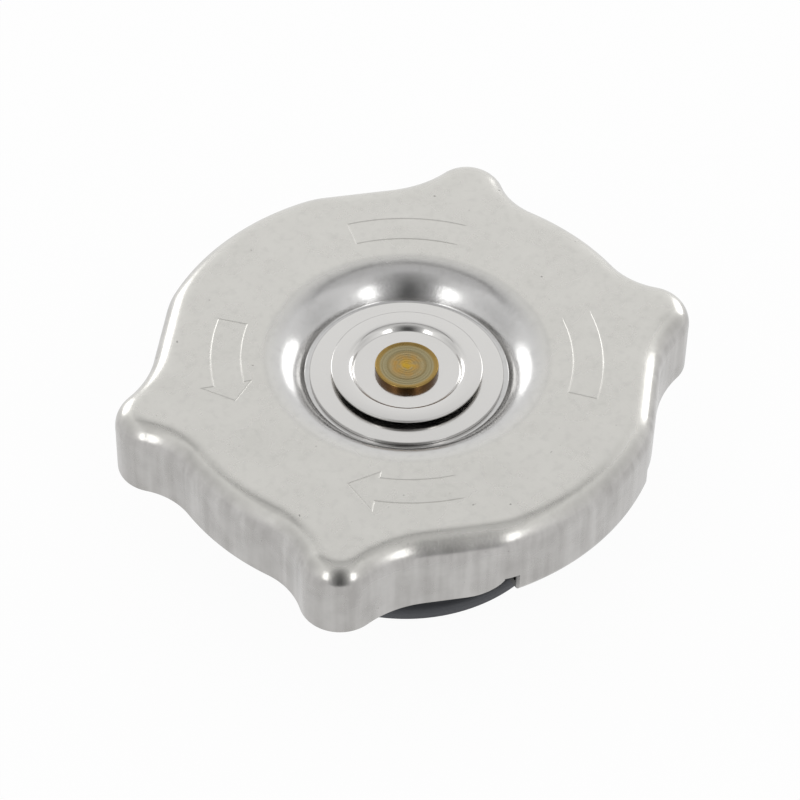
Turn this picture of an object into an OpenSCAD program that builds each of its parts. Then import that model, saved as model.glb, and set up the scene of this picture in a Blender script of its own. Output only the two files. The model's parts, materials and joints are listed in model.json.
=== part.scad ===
// Bayonet radiator cap with a pressure valve and a vacuum valve, in millimetres.
// The cap stands on its pressure seal at z = 0, with its axis on Z.
// +X points midway between the two ears of a pair, and the bayonet tabs lie at -Y and +Y.

/* [Cover] */
// Radius of the skirt between the ears
body_r = 31; // [29:0.5:35]
// Thickness of the cover's sheet
sheet_t = 1; // [0.8:0.1:1.2]
// Outer radius of the rolled edge
roll_r = 3; // [2:0.1:3.4]
// Depth of the skirt below the top
skirt_depth = 9.8; // [9:0.1:10.4]
// How far the flat beside each soft corner lies inside the body's circle
flat_in = 0.66; // [0.3:0.02:0.9]
// Half the angle between the two soft corners of a wide side
corner_angle = 24; // [22:0.5:27]
// Plan radius of the soft corners
corner_r = 11; // [6:0.5:14]

/* [Ears] */
// How far the ears stand out of the body's circle
ear_out = 4.9; // [4.5:0.05:5.4]
// Plan radius of an ear's tip
ear_tip_r = 4.8; // [4.2:0.05:5]
// Half the angle between the two ears of a pair
ear_angle = 29.5; // [28.5:0.1:30.5]
// Plan radius of the hollow between the ears of a pair and the skirt
hollow_narrow_r = 8.75; // [7.5:0.05:10.5]
// Plan radius of the hollow between an ear and the flat beside it
hollow_wide_r = 13; // [11:0.5:15]

/* [Bayonet tabs] */
// Depth of the tabs below the top
tab_depth = 10.6; // [10.5:0.1:12]
// Angle of a tab's first end from the middle of its wide side
tab_from = -21.1; // [-22:0.1:-16]
// Angle of a tab's last end from the middle of its wide side
tab_to = 22.8; // [18:0.1:23.5]
// Width of a tab's inward flange
tab_flange_w = 3.5; // [2.5:0.1:4.5]
// Width of the relief notch at each end of a tab
notch_w = 1.2; // [0.8:0.1:1.6]
// Height of the relief notch above the skirt's edge
notch_h = 2.5; // [1.6:0.1:3]
// Length over which the skirt's edge curves up to a notch
relief_w = 4.5; // [3:0.5:6]

/* [Well] */
// Depth of the well's floor below the top
well_depth = 3.25; // [3:0.05:3.8]
// Radius where the well's wall meets its floor
well_r = 12.6; // [12.3:0.1:13]
// How much wider the well is at the top than at its floor
well_slope = 2; // [1.8:0.1:2.4]
// Middle radius of the bend at the well's lip
well_lip_bend = 5; // [4:0.1:5.2]
// Middle radius of the bend at the well's floor
well_floor_bend = 0.9; // [0.7:0.1:1.1]

/* [Washers and rivet] */
// Radius of the rivet's shank
rivet_r = 2.4; // [2:0.1:2.8]
// Radius of the rivet's head
rivet_head_r = 3.85; // [3.5:0.05:4.2]
// Height of the rivet's head
rivet_head_h = 0.85; // [0.7:0.05:1.2]
// Depth of the dish in the rivet's head
rivet_dish = 0.1; // [0.05:0.01:0.15]
// Radius of the rivet's closed end
rivet_end_r = 3.6; // [3.2:0.1:4.2]
// Height of the rivet's closed end
rivet_end_h = 1; // [0.8:0.1:1.4]
// Gap between the flat washer's rim and the corner of the well's floor
washer_gap = 0.8; // [0.7:0.05:1.2]
// Thickness of the flat washer
washer_t = 0.4; // [0.35:0.05:0.6]
// Width of the flat washer's rounded upper edge
washer_edge_w = 0.5; // [0.2:0.05:0.8]
// Height of the flat washer's rounded upper edge
washer_edge_h = 0.3; // [0.1:0.05:0.3]
// Radius of the cup washer
cup_r = 9.1; // [8.6:0.1:9.8]
// Radius of the cup washer's floor
cup_floor_r = 6.3; // [6:0.1:6.6]
// Width of the cup washer's sloping wall
cup_wall_w = 0.95; // [0.8:0.05:1.1]
// Height of the cup washer's rim above its floor
cup_h = 0.75; // [0.65:0.05:0.85]
// Middle radius of the bend at the cup washer's rim
cup_lip_bend = 2.8; // [2:0.1:2.9]
// Thickness of the cup washer's sheet
cup_t = 0.35; // [0.3:0.05:0.45]

/* [Neck seal] */
// Radius of the spring disc
disc_r = 24.4; // [23.6:0.1:25.2]
// Radius of the spring disc's raised hub
disc_hub_r = 13.8; // [13.6:0.1:14.4]
// Width of the slope round the hub
disc_slope_w = 3; // [2:0.1:3.6]
// Drop from the hub to the rim of the spring disc
disc_drop = 0.8; // [0.6:0.1:1]
// Thickness of the spring disc
disc_t = 0.5; // [0.4:0.1:0.7]
// Width of the upper seal
upper_seal_w = 4; // [3.4:0.1:4.4]
// Thickness of the upper seal
upper_seal_t = 1.05; // [0.9:0.05:1.3]
// Height of the upper seal's seat above the pressure seal's seat
reach = 19; // [18:0.5:22]

/* [Pressure valve] */
// Outer radius of the guide cup
guide_r = 9; // [8.8:0.1:9.2]
// Width of the guide cup's flange
guide_flange_w = 1.5; // [1.2:0.1:1.8]
// Sheet thickness of the guide cup, the cage, the plate and the retainer
valve_t = 0.6; // [0.5:0.05:0.7]
// Lift of the pressure valve
valve_lift = 4; // [3:0.1:5]
// Room between the retainer and the guide cup at full lift
lift_room = 1; // [0.6:0.1:1.6]
// Wire diameter of the pressure spring
spring_wire = 1.4; // [1.2:0.1:1.6]
// Turns of the pressure spring
spring_turns = 6.5; // [5.5:0.5:7.5]
// Width of the cage's brim outside the spring
brim_w = 2.6; // [2:0.1:3]
// Radius of a flow window in the cage's wall
window_r = 1.9; // [1.4:0.1:2.2]
// Flow windows round the cage
window_n = 4; // [3:1:6]

/* [Pressure seal] */
// Radius of the pressure seal
seal_r = 19.9; // [19.4:0.1:20.3]
// Thickness of the pressure seal at its lip
seal_t = 1.5; // [1.4:0.1:2]
// Thickness of the pressure seal's web
web_t = 0.8; // [0.7:0.05:0.8]
// Width of the pressure seal's lip
lip_w = 4; // [3.4:0.1:4.2]
// Radius of the rounded upper edge of the pressure seal
seal_round = 0.7; // [0.4:0.1:0.9]
// Outer radius of the retainer's tube
retainer_r = 6.5; // [6:0.1:6.8]
// Width of the retainer's flange
retainer_flange_w = 3; // [2.4:0.1:3.4]
// Height of the retainer above the plate
retainer_rise = 2.4; // [2.2:0.1:2.8]
// Diameter of the rolled bead that holds the plate
bead_d = 1; // [0.8:0.1:1.2]

/* [Vacuum valve] */
// Radius of the hole in the vacuum valve's seat
seat_hole_r = 2.8; // [2.4:0.1:3]
// Gap round the vacuum valve's disc
vacuum_gap = 0.6; // [0.4:0.1:1]
// Thickness of the vacuum valve's disc
vacuum_disc_t = 0.6; // [0.5:0.1:0.8]
// Thickness of the vacuum valve's rubber washer
vacuum_seal_t = 0.5; // [0.4:0.1:0.7]
// Radius of the vacuum valve's stem
stem_r = 0.8; // [0.6:0.05:1]
// Radius of the stem's headed end
stem_head_r = 1.3; // [1.2:0.05:1.5]
// Height of the stem's headed end
stem_head_h = 0.5; // [0.4:0.05:0.7]
// Travel of the vacuum valve
vacuum_travel = 1.5; // [1:0.1:1.8]
// Wire diameter of the vacuum spring
vacuum_wire = 0.45; // [0.35:0.05:0.55]
// Turns of the vacuum spring
vacuum_turns = 4.5; // [3.5:0.5:5.5]
// Thickness of the spring keeper
keeper_t = 0.5; // [0.4:0.1:0.7]

/* [Clearances] */
// Gap above and below the cover's floor, on which the valve assembly swivels
swivel_gap = 0.05; // [0.03:0.01:0.1]
// Radial gap between the rivet and the cover's floor
pin_gap = 0.06; // [0.03:0.01:0.1]
// Radial gap between pieces that slide on each other
slide_gap = 0.15; // [0.1:0.05:0.25]
// Radial gap between pieces that pass each other
pass_gap = 0.3; // [0.2:0.05:0.4]
// Gap between a valve and its stop
stop_gap = 0.02; // [0.01:0.01:0.05]
// Radial gap between pieces that are held together
hold_gap = 0.05; // [0.02:0.01:0.08]

/* [Hidden] */
$fn = 96;

// Heights, from the top down to the upper seal
neck_depth = well_depth + sheet_t + swivel_gap + disc_t + disc_drop + upper_seal_t;
top_z = reach + neck_depth;
floor_z = top_z - well_depth;
disc_top_z = floor_z - sheet_t - swivel_gap;
disc_seat_z = disc_top_z - disc_t;
skirt_z = top_z - skirt_depth;
tab_z = top_z - tab_depth;

// Heights, from the flat washer up to the rivet's head
washer_z = floor_z + swivel_gap;
cup_z = washer_z + washer_t;
head_z = cup_z + cup_t;

// Heights, from the pressure seal up to the guide cup's flange
web_z = seal_t - web_t;
plate_z = seal_t;
brim_z = plate_z + valve_t;
spring_z = brim_z + valve_t;
seat_top_z = brim_z + retainer_rise;
seat_z = seat_top_z - valve_t;
flange_top_z = seat_top_z + valve_lift + lift_room + valve_t;
lip_z = flange_top_z + stop_gap;

// Heights of the vacuum valve
vacuum_seal_z = seat_z - stop_gap - vacuum_seal_t;
vacuum_disc_z = vacuum_seal_z - vacuum_disc_t;
vacuum_spring_spare = 0.5;
keeper_z = seat_top_z + vacuum_turns * vacuum_wire + vacuum_travel + vacuum_spring_spare;
keeper_top_z = keeper_z + keeper_t;

// Radii
rivet_hole_r = rivet_r + hold_gap;
guide_flange_r = guide_r + guide_flange_w;
cage_in_r = guide_flange_r + pass_gap;
cage_out_r = cage_in_r + valve_t;
spring_r = cage_out_r + pass_gap + spring_wire / 2;
brim_r = spring_r + spring_wire / 2 + brim_w;
bend_in_r = valve_t / 2;
lip_hole_r = guide_r + bend_in_r + slide_gap;
retainer_hole_r = retainer_r + hold_gap;
seal_hole_r = retainer_hole_r + bend_in_r;
vacuum_disc_r = retainer_r - valve_t - vacuum_gap;
vacuum_spring_r = (seat_hole_r + vacuum_disc_r) / 2;
keeper_r = vacuum_spring_r + vacuum_wire;
stem_hole_r = stem_r + hold_gap;
washer_r = well_r - washer_gap;
plate_r = (well_r + well_slope + body_r - roll_r) / 2;
tab_flange_r = body_r - sheet_t - tab_flange_w;

// Plan of the cover
ear_centre = (body_r + ear_out - ear_tip_r) * [cos(ear_angle), sin(ear_angle)];
narrow_centre_r = body_r + hollow_narrow_r;
narrow_tip_r = ear_tip_r + hollow_narrow_r;
narrow_angle = ear_angle - acos((narrow_centre_r ^ 2 + norm(ear_centre) ^ 2 - narrow_tip_r ^ 2)
                                / (2 * narrow_centre_r * norm(ear_centre)));
narrow_centre = narrow_centre_r * [cos(narrow_angle), sin(narrow_angle)];
flat_h = body_r - flat_in;
flat_angle = 90 - corner_angle - acos(flat_h / body_r);
flat_out = [cos(flat_angle), sin(flat_angle)];
flat_along = [-sin(flat_angle), cos(flat_angle)];
wide_rise = flat_h + hollow_wide_r - ear_centre * flat_out;
wide_run = ear_centre * flat_along + sqrt((ear_tip_r + hollow_wide_r) ^ 2 - wide_rise ^ 2);
wide_centre = (flat_h + hollow_wide_r) * flat_out + wide_run * flat_along;
corner_centre = (flat_h - corner_r) * flat_out
                + sqrt((body_r - corner_r) ^ 2 - (flat_h - corner_r) ^ 2) * flat_along;

// Steps of the curves
bend_steps = 5;
roll_steps = 5;
ear_steps = 10;
hollow_steps = 6;
corner_steps = 3;
side_steps = 4;
coil_steps = 24;
wire_sides = 8;

// Rise of a spring's closed turn, in wire diameters
closed_pitch = 1.05;

// Angle of the line from one point to another
function bearing(from, to) = atan2(to.y - from.y, to.x - from.x);
// Smallest signed angle equal to the given one
function signed_angle(a) = a - 360 * round(a / 360);
// Unit vector to the left of a direction
function left_of(a) = [-sin(a), cos(a)];
// Points of an arc about a centre, without its first point
function arc(centre, r, from, turn, steps) =
    [for (i = [1:steps]) let (a = from + turn * i / steps) centre + r * [cos(a), sin(a)]];
// Points of the arc between the bearings of two points, without its first point
function arc_between(centre, r, p, q, steps) =
    let (from = bearing(centre, p)) arc(centre, r, from, signed_angle(bearing(centre, q) - from), steps);

// Quarter of the cover's outline, moved inwards by d, from +X round to +Y
function quarter_outline(d) =
    let (corner_from = bearing([0, 0], corner_centre))
    concat([[body_r - d, 0]],
           arc([0, 0], body_r - d, 0, narrow_angle, side_steps),
           arc_between(narrow_centre, hollow_narrow_r + d, [0, 0], ear_centre, hollow_steps),
           arc_between(ear_centre, ear_tip_r - d, narrow_centre, wide_centre, ear_steps),
           arc_between(wide_centre, hollow_wide_r + d, ear_centre, wide_centre - flat_out, hollow_steps),
           arc(corner_centre, corner_r - d, flat_angle, 0, 1),
           arc(corner_centre, corner_r - d, flat_angle, corner_from - flat_angle, corner_steps),
           arc([0, 0], body_r - d, corner_from, 90 - corner_from, 2 * side_steps));

// Whole outline of the cover, moved inwards by d
function outline(d) =
    let (quarter = quarter_outline(d), last = len(quarter) - 1,
         half = concat(quarter, [for (i = [last - 1:-1:0]) [-quarter[i].x, quarter[i].y]]))
    concat(half, [for (i = [len(half) - 2:-1:1]) [half[i].x, -half[i].y]]);

// Outline at a height, and a circle with a point on each of the outline's bearings
function outline_ring(d, z) = [for (p = outline(d)) [p.x, p.y, z]];
function circle_ring(r, z) = [for (p = outline(0)) [r * p.x / norm(p), r * p.y / norm(p), z]];

// Points and headings of one bend in a sheet's middle line
function bend(before, corner, after, r) =
    let (a = bearing(before, corner), turn = signed_angle(bearing(corner, after) - a), side = sign(turn),
         centre = corner - r * tan(abs(turn) / 2) * [cos(a), sin(a)] + side * r * left_of(a))
    [for (i = [0:bend_steps]) let (h = a + turn * i / bend_steps) [centre - side * r * left_of(h), h]];

// Section of a bent sheet: its middle line's corners, its thickness and the bends' middle radii
function sheet_section(path, t, bends) =
    let (last = len(path) - 1,
         line = concat([[path[0], bearing(path[0], path[1])]],
                       [for (i = [1:last - 1]) each bend(path[i - 1], path[i], path[i + 1], bends[i - 1])],
                       [[path[last], bearing(path[last - 1], path[last])]]))
    concat([for (s = line) s[0] + t / 2 * left_of(s[1])],
           [for (i = [len(line) - 1:-1:0]) line[i][0] - t / 2 * left_of(line[i][1])]);

// Solid made of closed rings of points: joined end to end, or capped at both ends
module loft(rings, closed) {
    rows = len(rings);
    cols = len(rings[0]);
    last = closed ? rows - 1 : rows - 2;
    sides = [for (j = [0:last], i = [0:cols - 1])
                let (k = (i + 1) % cols, a = j * cols, b = ((j + 1) % rows) * cols)
                each [[a + i, b + i, b + k], [a + i, b + k, a + k]]];
    caps = closed ? [] : [[for (i = [0:cols - 1]) i],
                          [for (i = [cols - 1:-1:0]) (rows - 1) * cols + i]];
    polyhedron(points = [for (ring = rings) each ring], faces = concat(sides, caps), convexity = 10);
}

// Round piece of bent sheet
module spun_sheet(path, t, bends) {
    rotate_extrude() polygon(sheet_section(path, t, bends));
}

// Flat ring
module ring(r, hole_r, z, t) {
    translate([0, 0, z]) difference() {
        cylinder(r = r, h = t);
        translate([0, 0, -t]) cylinder(r = hole_r, h = 3 * t);
    }
}

// Coil spring between two heights, with one closed turn at each end
module coil(r, wire, turns, z0, z1) {
    end_rise = wire * closed_pitch;
    middle_rise = (z1 - z0 - wire - 2 * end_rise) / (turns - 2);
    steps = turns * coil_steps;
    rings = [for (i = [0:steps])
        let (n = i / coil_steps, a = 360 * n,
             closed_turns = min(n, 1) + max(n - turns + 1, 0),
             open_turns = min(max(n - 1, 0), turns - 2),
             rise = end_rise * closed_turns + middle_rise * open_turns)
        [for (k = [0:wire_sides - 1])
            let (b = 360 * k / wire_sides, out = r + wire / 2 * cos(b))
            [out * cos(a), out * sin(a), z0 + wire / 2 + rise + wire / 2 * sin(b)]]];
    loft(rings, false);
}

// Wedge of a circle that reaches past the cover, between two angles
module sector(from, to) {
    reach_r = 2 * body_r;
    polygon(concat([[0, 0]],
                   arc([0, 0], reach_r, from, 0, 1),
                   arc([0, 0], reach_r, from, to - from, side_steps)));
}

// Top, rolled edge and skirt of the cover, the skirt as deep as the tabs
module rim() {
    inner_roll_r = roll_r - sheet_t;
    inner = [for (i = [0:roll_steps]) let (a = 90 * i / roll_steps)
        outline_ring(roll_r - inner_roll_r * sin(a), top_z - sheet_t - inner_roll_r * (1 - cos(a)))];
    outer = [for (i = [roll_steps:-1:0]) let (a = 90 * i / roll_steps)
        outline_ring(roll_r * (1 - sin(a)), top_z - roll_r * (1 - cos(a)))];
    loft(concat([circle_ring(plate_r, top_z - sheet_t)], inner,
                [outline_ring(sheet_t, tab_z), outline_ring(0, tab_z)], outer,
                [circle_ring(plate_r, top_z)]), true);
}

// What is cut below the curve that leads the skirt's edge up to a notch, from the notch outwards
module relief_profile() {
    relief_r = (relief_w ^ 2 + notch_h ^ 2) / (2 * notch_h);
    low_z = tab_z - sheet_t;
    start = [0, skirt_z + notch_h];
    end = [relief_w, skirt_z];
    polygon(concat([start], arc_between(end + [0, relief_r], relief_r, start, end, roll_steps),
                   [[relief_w, low_z], [0, low_z]]));
}

// What is cut from the skirt's edge on one side: the stretch between tabs, the notches and their reliefs
module skirt_cut() {
    notch_angle = notch_w / body_r * 180 / PI;
    first_end = tab_to + notch_angle;
    last_end = 180 + tab_from - notch_angle;
    cut_h = tab_depth - skirt_depth + sheet_t;
    translate([0, 0, tab_z - sheet_t]) linear_extrude(cut_h) sector(tab_to, 180 + tab_from);
    translate([0, 0, tab_z - sheet_t]) linear_extrude(cut_h + notch_h) {
        sector(tab_to, first_end);
        sector(last_end, 180 + tab_from);
    }
    rotate([90, 0, first_end + 90]) linear_extrude(2 * body_r) relief_profile();
    rotate([90, 0, last_end + 90]) linear_extrude(2 * body_r) mirror([1, 0]) relief_profile();
}

// Inward flange of one tab
module tab_flange() {
    rotate([0, 0, tab_from]) rotate_extrude(angle = tab_to - tab_from)
        translate([tab_flange_r, tab_z]) square([tab_flange_w + sheet_t / 2, sheet_t]);
}

// Pressed well in the middle of the cover, which reaches a little into the rim's flat top
module well() {
    top = top_z - sheet_t / 2;
    bottom = floor_z - sheet_t / 2;
    outer_r = plate_r + sheet_t;
    spun_sheet([[rivet_r + pin_gap, bottom], [well_r, bottom], [well_r + well_slope, top], [outer_r, top]],
               sheet_t, [well_floor_bend, well_lip_bend]);
}

module cover() {
    color([0.78, 0.78, 0.77]) {
        difference() {
            rim();
            for (side = [90, 270]) rotate([0, 0, side]) skirt_cut();
        }
        well();
        for (side = [90, 270]) rotate([0, 0, side]) tab_flange();
    }
}

// Washer in the well, with a rounded upper edge
module flat_washer() {
    top = washer_z + washer_t;
    edge = [for (i = [0:bend_steps]) let (a = 90 * i / bend_steps)
        [washer_r - washer_edge_w * (1 - cos(a)), top - washer_edge_h * (1 - sin(a))]];
    color([0.86, 0.86, 0.86]) rotate_extrude() polygon(concat(
        [[rivet_hole_r, washer_z], [washer_r, washer_z]], edge, [[rivet_hole_r, top]]));
}

module cup_washer() {
    floor_mid = cup_z + cup_t / 2;
    rim_mid = floor_mid + cup_h;
    wall_top_r = cup_floor_r + cup_wall_w;
    color([0.88, 0.88, 0.88])
        spun_sheet([[rivet_hole_r, floor_mid], [cup_floor_r, floor_mid],
                    [wall_top_r, rim_mid], [cup_r, rim_mid]], cup_t, [cup_t, cup_lip_bend]);
}

// Rivet: a dished head with a rounded rim, the shank, and the closed end inside the guide cup
module rivet() {
    end_z = disc_seat_z - valve_t;
    head_round = rivet_head_h / 3;
    head_top = head_z + rivet_head_h;
    color([0.68, 0.54, 0.24]) rotate_extrude() polygon(concat(
        [[0, end_z - rivet_end_h]],
        arc([rivet_end_r - head_round, end_z - rivet_end_h + head_round], head_round, 270, 90, bend_steps),
        [[rivet_end_r, end_z], [rivet_r, end_z], [rivet_r, head_z], [rivet_head_r, head_z]],
        [[rivet_head_r, head_top - head_round]],
        arc([rivet_head_r - head_round, head_top - head_round], head_round, 0, 90, bend_steps),
        [[rivet_head_r - 2 * head_round, head_top - rivet_dish], [0, head_top - rivet_dish]]));
}

module spring_disc() {
    hub_mid = disc_seat_z + disc_t / 2;
    rim_mid = hub_mid - disc_drop;
    slope_r = disc_hub_r + disc_slope_w;
    color([0.72, 0.72, 0.7])
        spun_sheet([[rivet_hole_r, hub_mid], [disc_hub_r, hub_mid], [slope_r, rim_mid], [disc_r, rim_mid]],
                   disc_t, [2 * disc_t, 2 * disc_t]);
}

module upper_seal() {
    color([0.13, 0.13, 0.14]) ring(disc_r, disc_r - upper_seal_w, reach, upper_seal_t);
}

module guide_cup() {
    top_mid = disc_seat_z - valve_t / 2;
    wall_mid = guide_r - valve_t / 2;
    flange_mid = flange_top_z - valve_t / 2;
    color([0.7, 0.7, 0.68])
        spun_sheet([[rivet_hole_r, top_mid], [wall_mid, top_mid],
                    [wall_mid, flange_mid], [guide_flange_r, flange_mid]], valve_t, [valve_t, valve_t]);
}

module pressure_spring() {
    color([0.62, 0.62, 0.62]) coil(spring_r, spring_wire, spring_turns, spring_z, disc_seat_z);
}

// Cage of the pressure valve: a brim, a round wall with flow windows, and a lip that hangs on the guide cup
module valve_cage() {
    brim_mid = brim_z + valve_t / 2;
    wall_mid = cage_in_r + valve_t / 2;
    lip_mid = lip_z + valve_t / 2;
    color([0.72, 0.7, 0.64]) difference() {
        spun_sheet([[brim_r, brim_mid], [wall_mid, brim_mid], [wall_mid, lip_mid], [lip_hole_r, lip_mid]],
                   valve_t, [valve_t, valve_t]);
        for (i = [0:window_n - 1])
            translate([0, 0, (spring_z + lip_z) / 2])
                rotate([0, 90, 360 * i / window_n]) cylinder(r = window_r, h = 2 * cage_out_r);
    }
}

module valve_plate() {
    color([0.7, 0.7, 0.68]) ring(brim_r, retainer_hole_r, plate_z, valve_t);
}

// Rubber seal: a thick lip that closes on the seat, round a thin web that is clamped
module pressure_seal() {
    edge_r = seal_r - seal_round;
    color([0.16, 0.17, 0.19]) rotate_extrude() polygon(concat(
        [[seal_hole_r, web_z], [seal_r - lip_w, web_z], [seal_r - lip_w, 0], [seal_r, 0]],
        [[seal_r, seal_t - seal_round]],
        arc([edge_r, seal_t - seal_round], seal_round, 0, 90, bend_steps),
        [[seal_hole_r, seal_t]]));
}

// Flanged tube that clamps the seal to its plate, with the vacuum valve's seat at its top
module seal_retainer() {
    flange_mid = web_z - valve_t / 2;
    wall_mid = retainer_r - valve_t / 2;
    seat_mid = seat_z + valve_t / 2;
    color([0.72, 0.58, 0.3]) {
        spun_sheet([[retainer_r + retainer_flange_w, flange_mid], [wall_mid, flange_mid],
                    [wall_mid, seat_mid], [seat_hole_r, seat_mid]], valve_t, [valve_t, valve_t]);
        translate([0, 0, brim_z + bead_d / 2])
            rotate_extrude() translate([retainer_r, 0]) circle(d = bead_d);
    }
}

// Disc and stem of the vacuum valve, with the headed end over the keeper
module vacuum_valve() {
    color([0.7, 0.56, 0.27]) {
        translate([0, 0, vacuum_disc_z]) cylinder(r = vacuum_disc_r, h = vacuum_disc_t);
        translate([0, 0, vacuum_disc_z]) cylinder(r = stem_r, h = keeper_top_z - vacuum_disc_z);
        translate([0, 0, keeper_top_z]) cylinder(r = stem_head_r, h = stem_head_h);
    }
}

module vacuum_seal() {
    color([0.14, 0.14, 0.15]) ring(vacuum_disc_r, stem_hole_r, vacuum_seal_z, vacuum_seal_t);
}

module vacuum_spring() {
    color([0.66, 0.66, 0.66]) coil(vacuum_spring_r, vacuum_wire, vacuum_turns, seat_top_z, keeper_z);
}

module spring_keeper() {
    color([0.7, 0.7, 0.68]) ring(keeper_r, stem_hole_r, keeper_z, keeper_t);
}

cover();
flat_washer();
cup_washer();
rivet();
spring_disc();
upper_seal();
guide_cup();
pressure_spring();
valve_cage();
valve_plate();
pressure_seal();
seal_retainer();
vacuum_valve();
vacuum_seal();
vacuum_spring();
spring_keeper();
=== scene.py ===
"""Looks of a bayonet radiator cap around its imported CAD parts.
Lengths are in millimetres until a mesh is made, and plan points are complex numbers."""
import cmath
import json
import math

import bmesh
import bpy
from mathutils import Matrix, Vector
from mathutils.geometry import delaunay_2d_cdt


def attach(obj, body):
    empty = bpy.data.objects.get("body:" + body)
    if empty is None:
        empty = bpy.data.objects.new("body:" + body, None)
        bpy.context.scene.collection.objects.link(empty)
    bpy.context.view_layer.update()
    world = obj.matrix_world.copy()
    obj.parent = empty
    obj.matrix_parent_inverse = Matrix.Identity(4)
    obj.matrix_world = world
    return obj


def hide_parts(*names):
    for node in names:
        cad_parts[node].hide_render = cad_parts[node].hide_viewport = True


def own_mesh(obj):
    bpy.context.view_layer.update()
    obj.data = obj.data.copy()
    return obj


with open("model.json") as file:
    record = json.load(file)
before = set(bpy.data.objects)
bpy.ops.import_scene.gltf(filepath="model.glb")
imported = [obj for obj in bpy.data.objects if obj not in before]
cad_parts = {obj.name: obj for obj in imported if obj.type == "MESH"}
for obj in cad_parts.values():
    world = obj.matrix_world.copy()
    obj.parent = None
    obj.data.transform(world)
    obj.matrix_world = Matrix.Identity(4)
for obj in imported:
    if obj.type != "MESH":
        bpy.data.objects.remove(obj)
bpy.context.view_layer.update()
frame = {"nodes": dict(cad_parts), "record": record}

MM = 0.001

# Cover
BODY_R = 31.0
SHEET_T = 1.0
ROLL_R = 3.0
SKIRT_DEPTH = 9.8
SKIRT_SOFT = 0.15
FLAT_IN = 0.66
CORNER_ANGLE = math.radians(24)
CORNER_R = 11.0
EAR_OUT = 4.9
EAR_TIP_R = 4.8
EAR_ANGLE = math.radians(29.5)
HOLLOW_NARROW_R = 8.75
HOLLOW_WIDE_R = 13.0
TOP_Z = 25.65
SKIRT_Z = TOP_Z - SKIRT_DEPTH

# Bayonet tabs: angles in degrees from the middle of a wide side
TAB_Z = TOP_Z - 10.6
TAB_FROM = -21.1
TAB_TO = 22.8
TAB_FLANGE_W = 3.5
TAB_BEND = 1.4
NOTCH_ANGLE = 3.0
NOTCH_H = 2.5
RELIEF_W = 4.5

# Well
WELL_DEPTH = 3.25
FLOOR_Z = TOP_Z - WELL_DEPTH
WELL_R = 12.6
WELL_SLOPE = 2.0
WELL_LIP_BEND = 5.0
WELL_FLOOR_BEND = 0.9
PLATE_R = 18.3
PLATE_MARGIN = 0.25
RIVET_HOLE_R = 2.46

# Washers
WASHER_R = 11.7
WASHER_Z = FLOOR_Z + 0.05
WASHER_T = 0.4
WASHER_EDGE = 0.1
WASHER_HOLE_R = 2.45
CUP_Z = WASHER_Z + WASHER_T
CUP_R = 9.1
CUP_FLOOR_R = 6.45
CUP_WALL_W = 0.5
CUP_H = 0.65
CUP_T = 0.35
CUP_LIP_BEND = 0.95
CUP_EDGE_IN = 0.12
CUP_EDGE_TURN = 0.6

# Rivet
HEAD_Z = CUP_Z + CUP_T
HEAD_R = 3.85
HEAD_H = 0.85
HEAD_TOP = HEAD_Z + HEAD_H
HEAD_RIM = 0.2
HEAD_DISH = 0.16
HEAD_RINGS = 9
RING_H = 0.012
DISH_R = 3.33
SHANK_R = 2.4
RIVET_END_R = 3.6
RIVET_END_Z = 20.25
RIVET_END_H = 1.0

# Pressure seal
SEAL_R = 19.9
SEAL_T = 1.5
SEAL_WEB_T = 0.8
SEAL_LIP_W = 4.0
SEAL_ROUND = 0.7
SEAL_LIP_ROUND = 0.15
SEAL_WEB_ROUND = 0.1
SEAL_HOLE_R = 6.85

# Springs: middle radius, wire, turns, lower and upper end
PRESSURE_SPRING = dict(r=12.4, wire=1.4, turns=6.5, low=2.7, high=20.85)
PRESSURE_LIFT = 4.0
VACUUM_SPRING = dict(r=4.05, wire=0.45, turns=4.5, low=4.5, high=8.525)
VACUUM_TRAVEL = 1.5
CLOSED_PITCH = 1.05

# Stamped arrows on the top
ARROW_IN_R = 19.97
ARROW_OUT_R = 23.57
ARROW_BARB_OUT = 1.5
ARROW_BARB_IN = 0.9
GROOVE_W = 0.22
GROOVE_DEPTH = 0.045

# Steps of the curves
SIDE_STEPS = 12
HOLLOW_STEPS = 18
EAR_STEPS = 28
FLAT_STEPS = 10
CORNER_STEPS = 6
WIDE_STEPS = 48
ROLL_STEPS = 16
BEND_STEPS = 14
ARROW_STEPS = 14
BAR_STEPS = 18
RIM_STEPS = 9
RING_STEPS = 8
LATHE_STEPS = 192
WIRE_SIDES = 16
COIL_STEPS = 48
CARD_STEPS = 48

# Limits of the meshes: least radius at an axis, points taken as one, and angles in degrees that stay smooth
AXIS_R = 0.001
WELD = 0.002
SAME_POINT = 1e-5
SMOOTH = 30
COVER_SMOOTH = 8
RIVET_SMOOTH = 40


# Plan of the cover
def dot(a, b):
    return (a * b.conjugate()).real


EAR_CENTRE = cmath.rect(BODY_R + EAR_OUT - EAR_TIP_R, EAR_ANGLE)
NARROW_CENTRE_R = BODY_R + HOLLOW_NARROW_R
NARROW_TIP_R = EAR_TIP_R + HOLLOW_NARROW_R
NARROW_ANGLE = EAR_ANGLE - math.acos(
    (NARROW_CENTRE_R**2 + abs(EAR_CENTRE) ** 2 - NARROW_TIP_R**2) / (2 * NARROW_CENTRE_R * abs(EAR_CENTRE))
)
NARROW_CENTRE = cmath.rect(NARROW_CENTRE_R, NARROW_ANGLE)
FLAT_H = BODY_R - FLAT_IN
FLAT_ANGLE = math.pi / 2 - CORNER_ANGLE - math.acos(FLAT_H / BODY_R)
FLAT_OUT = cmath.rect(1, FLAT_ANGLE)
FLAT_ALONG = 1j * FLAT_OUT
WIDE_RISE = FLAT_H + HOLLOW_WIDE_R - dot(EAR_CENTRE, FLAT_OUT)
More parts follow.
